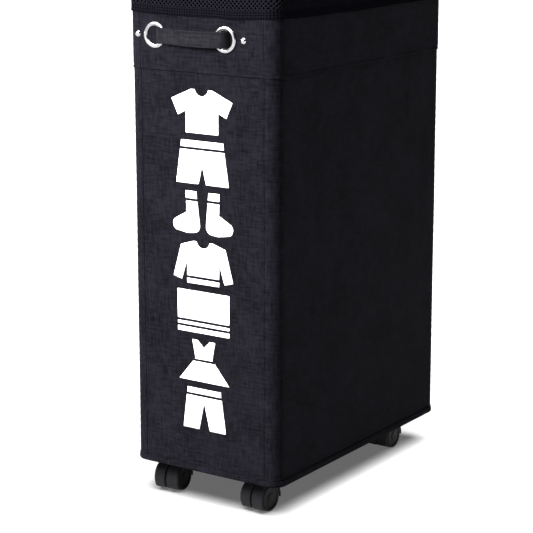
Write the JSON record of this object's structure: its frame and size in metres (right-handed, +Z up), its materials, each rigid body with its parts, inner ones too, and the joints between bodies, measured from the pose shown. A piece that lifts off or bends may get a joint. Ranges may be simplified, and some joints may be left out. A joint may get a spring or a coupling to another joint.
{
  "type": "rolling laundry hamper",
  "caption": "Slim upright rolling laundry hamper: black fabric bag with mesh collar, strap handles through eyelets and twin-wheel swivel casters.",
  "frame": {"origin": "on the floor, under the middle of the bag", "axes": "+Z up, the printed front face looks along -Y, +X to the right of it as the hamper stands"},
  "size_m": [0.1964, 0.3604, 0.58],
  "materials": {
    "outer_fabric": "matt coated oxford weave, black with a slight blue tint",
    "lining_fabric": "smooth black lining cloth with a waterproof coat",
    "strap_webbing": "folded and stitched black oxford strap",
    "mesh_knit": "black open polyester knit",
    "print_ink": "white screen print",
    "board": "grey plastic board inside the walls and the base",
    "frame_steel": "drawn steel rod and wire",
    "fitting_plastic": "black moulded plastic",
    "nickel": "bright nickel plate",
    "fastener_steel": "zinc-plated steel",
    "caster_plastic": "black moulded nylon, slightly glossy",
    "wheel_nylon": "black moulded nylon tread"
  },
  "bodies": {
    "bag": {"base_board": "board", "bottom_panel": "outer_fabric", "bottom_binding": "outer_fabric", "floor_insert": "lining_fabric", "front_panel": "outer_fabric", "back_panel": "outer_fabric", "left_panel": "outer_fabric", "right_panel": "outer_fabric", "corner_sleeves": "outer_fabric", "front_stiffener": "board", "back_stiffener": "board", "left_stiffener": "board", "right_stiffener": "board", "lining": "lining_fabric", "top_band": "outer_fabric", "mesh_collar": "mesh_knit", "collar_hem": "mesh_knit", "printed_pictures": "print_ink", "rim_hoop": "frame_steel", "rod_front_left": "frame_steel", "rod_front_right": "frame_steel", "rod_back_left": "frame_steel", "rod_back_right": "frame_steel", "rod_sockets": "fitting_plastic", "hoop_clips": "fitting_plastic", "front_eyelets": "nickel", "back_eyelets": "nickel", "eyelet_washers": "nickel", "handle_rivets": "nickel", "rivet_caps": "nickel", "strap_tails": "strap_webbing", "caster_stems": "fastener_steel", "stem_washers": "fastener_steel", "stem_nuts": "fastener_steel", "stem_clips": "fastener_steel"},
    "front_handle": {"front_handle_strap": "strap_webbing"},
    "back_handle": {"back_handle_strap": "strap_webbing"},
    "caster_front_left": {"hood_front_left": "caster_plastic", "axle_front_left": "fastener_steel"},
    "wheel_front_left_a": {"wheel_front_left_a": "wheel_nylon"},
    "wheel_front_left_b": {"wheel_front_left_b": "wheel_nylon"},
    "caster_front_right": {"hood_front_right": "caster_plastic", "axle_front_right": "fastener_steel"},
    "wheel_front_right_a": {"wheel_front_right_a": "wheel_nylon"},
    "wheel_front_right_b": {"wheel_front_right_b": "wheel_nylon"},
    "caster_back_left": {"hood_back_left": "caster_plastic", "axle_back_left": "fastener_steel"},
    "wheel_back_left_a": {"wheel_back_left_a": "wheel_nylon"},
    "wheel_back_left_b": {"wheel_back_left_b": "wheel_nylon"},
    "caster_back_right": {"hood_back_right": "caster_plastic", "axle_back_right": "fastener_steel"},
    "wheel_back_right_a": {"wheel_back_right_a": "wheel_nylon"},
    "wheel_back_right_b": {"wheel_back_right_b": "wheel_nylon"}
  },
  "joints": [
    {"name": "swivel_front_left", "type": "hinge", "parent": "bag", "child": "caster_front_left", "pos_m": [-0.06, -0.129, 0.03], "axis": [0, 0, 1], "continuous": true},
    {"name": "spin_front_left_a", "type": "hinge", "parent": "caster_front_left", "child": "wheel_front_left_a", "pos_m": [-0.0586, -0.14895, 0.015], "axis": [0.9976, 0.0698, 0], "continuous": true},
    {"name": "spin_front_left_b", "type": "hinge", "parent": "caster_front_left", "child": "wheel_front_left_b", "pos_m": [-0.0586, -0.14895, 0.015], "axis": [0.9976, 0.0698, 0], "continuous": true},
    {"name": "swivel_front_right", "type": "hinge", "parent": "bag", "child": "caster_front_right", "pos_m": [0.06, -0.129, 0.03], "axis": [0, 0, 1], "continuous": true},
    {"name": "spin_front_right_a", "type": "hinge", "parent": "caster_front_right", "child": "wheel_front_right_a", "pos_m": [0.0586, -0.14895, 0.015], "axis": [0.9976, -0.0698, 0], "continuous": true},
    {"name": "spin_front_right_b", "type": "hinge", "parent": "caster_front_right", "child": "wheel_front_right_b", "pos_m": [0.0586, -0.14895, 0.015], "axis": [0.9976, -0.0698, 0], "continuous": true},
    {"name": "swivel_back_left", "type": "hinge", "parent": "bag", "child": "caster_back_left", "pos_m": [-0.06, 0.129, 0.03], "axis": [0, 0, 1], "continuous": true},
    {"name": "spin_back_left_a", "type": "hinge", "parent": "caster_back_left", "child": "wheel_back_left_a", "pos_m": [-0.05756, 0.10915, 0.015], "axis": [0.9925, 0.1219, 0], "continuous": true},
    {"name": "spin_back_left_b", "type": "hinge", "parent": "caster_back_left", "child": "wheel_back_left_b", "pos_m": [-0.05756, 0.10915, 0.015], "axis": [0.9925, 0.1219, 0], "continuous": true},
    {"name": "swivel_back_right", "type": "hinge", "parent": "bag", "child": "caster_back_right", "pos_m": [0.06, 0.129, 0.03], "axis": [0, 0, 1], "continuous": true},
    {"name": "spin_back_right_a", "type": "hinge", "parent": "caster_back_right", "child": "wheel_back_right_a", "pos_m": [0.06035, 0.109, 0.015], "axis": [0.9998, 0.0175, 0], "continuous": true},
    {"name": "spin_back_right_b", "type": "hinge", "parent": "caster_back_right", "child": "wheel_back_right_b", "pos_m": [0.06035, 0.109, 0.015], "axis": [0.9998, 0.0175, 0], "continuous": true},
    {"name": "front_handle_pull", "type": "slide", "parent": "bag", "child": "front_handle", "axis": [0, -1, 0], "range_m": [0, 0.008]},
    {"name": "back_handle_pull", "type": "slide", "parent": "bag", "child": "back_handle", "axis": [0, 1, 0], "range_m": [0, 0.008]}
  ]
}
